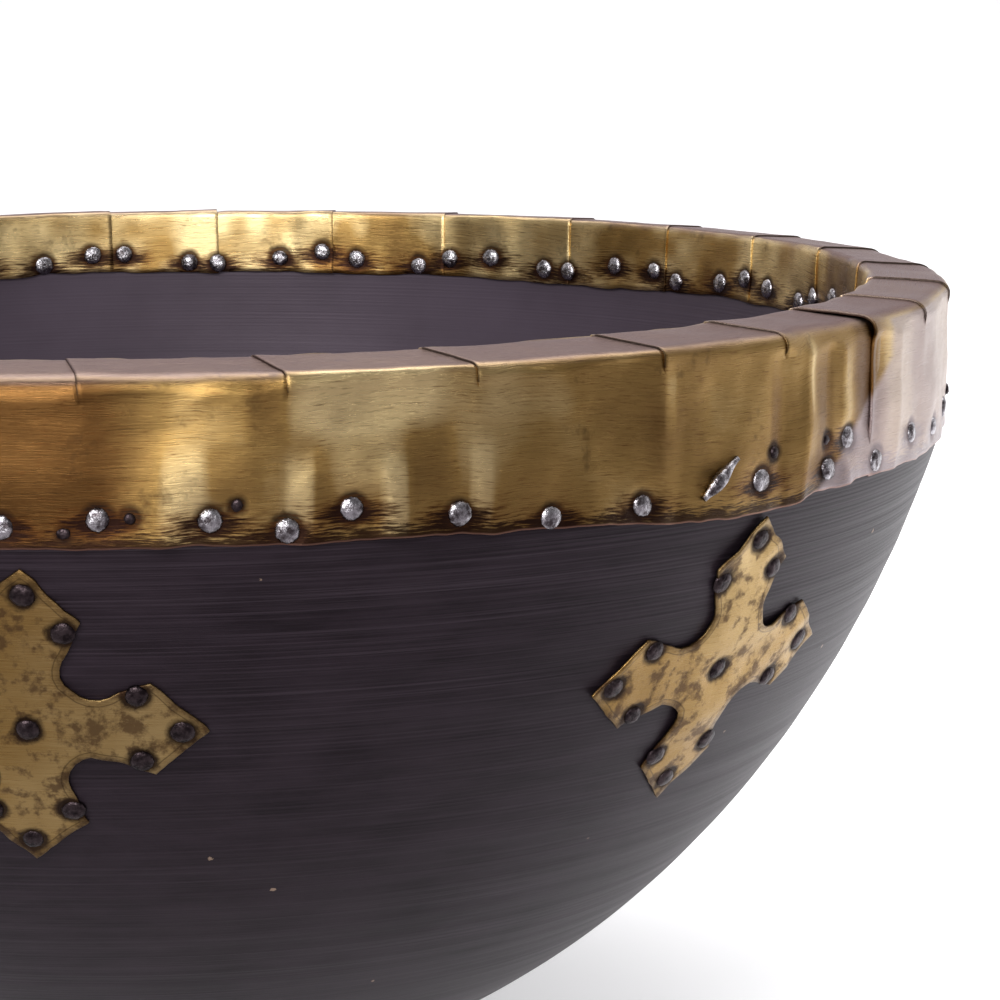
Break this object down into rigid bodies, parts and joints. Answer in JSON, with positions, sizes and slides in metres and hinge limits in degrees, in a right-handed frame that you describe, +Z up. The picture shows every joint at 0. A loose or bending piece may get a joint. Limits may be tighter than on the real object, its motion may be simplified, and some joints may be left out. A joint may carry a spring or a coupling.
{
  "type": "brass-bound wooden bowl",
  "caption": "Deep turned dark wooden bowl, its rim wrapped in a nailed brass band and its wall set with nailed brass cross plates.",
  "frame": {"origin": "centre of the flat foot, on the bowl's axis", "axes": "+Z up along the bowl's axis; -Y is the front, at azimuth 0, and azimuth grows towards +X"},
  "size_m": [0.2998, 0.2998, 0.1436],
  "materials": {
    "dark_wood": "dark stained, lightly polished, with fine turning lines",
    "rim_brass": "old sheet brass, brushed, dented, with brown tarnish",
    "cross_brass": "old sheet brass, darker, speckled with tarnish",
    "steel_nails": "hammered, scratched",
    "dark_nails": "darkened, hammered"
  },
  "bodies": {
    "root": {"bowl_body": "dark_wood", "rim_strip_1": "rim_brass", "rim_strip_2": "rim_brass", "rim_strip_3": "rim_brass", "rim_outer_nails_1": "steel_nails", "rim_inner_nails_1": "steel_nails", "rim_stub_nails_1": "steel_nails", "rim_outer_nails_2": "steel_nails", "rim_inner_nails_2": "steel_nails", "rim_stub_nails_2": "steel_nails", "rim_outer_nails_3": "steel_nails", "rim_inner_nails_3": "steel_nails", "rim_stub_nails_3": "steel_nails", "bent_nail": "steel_nails", "cross_plate_1": "cross_brass", "cross_nails_1": "dark_nails", "cross_plate_2": "cross_brass", "cross_nails_2": "dark_nails", "cross_plate_3": "cross_brass", "cross_nails_3": "dark_nails", "cross_plate_4": "cross_brass", "cross_nails_4": "dark_nails", "cross_plate_5": "cross_brass", "cross_nails_5": "dark_nails", "cross_plate_6": "cross_brass", "cross_nails_6": "dark_nails", "cross_plate_7": "cross_brass", "cross_nails_7": "dark_nails"}
  },
  "joints": []
}
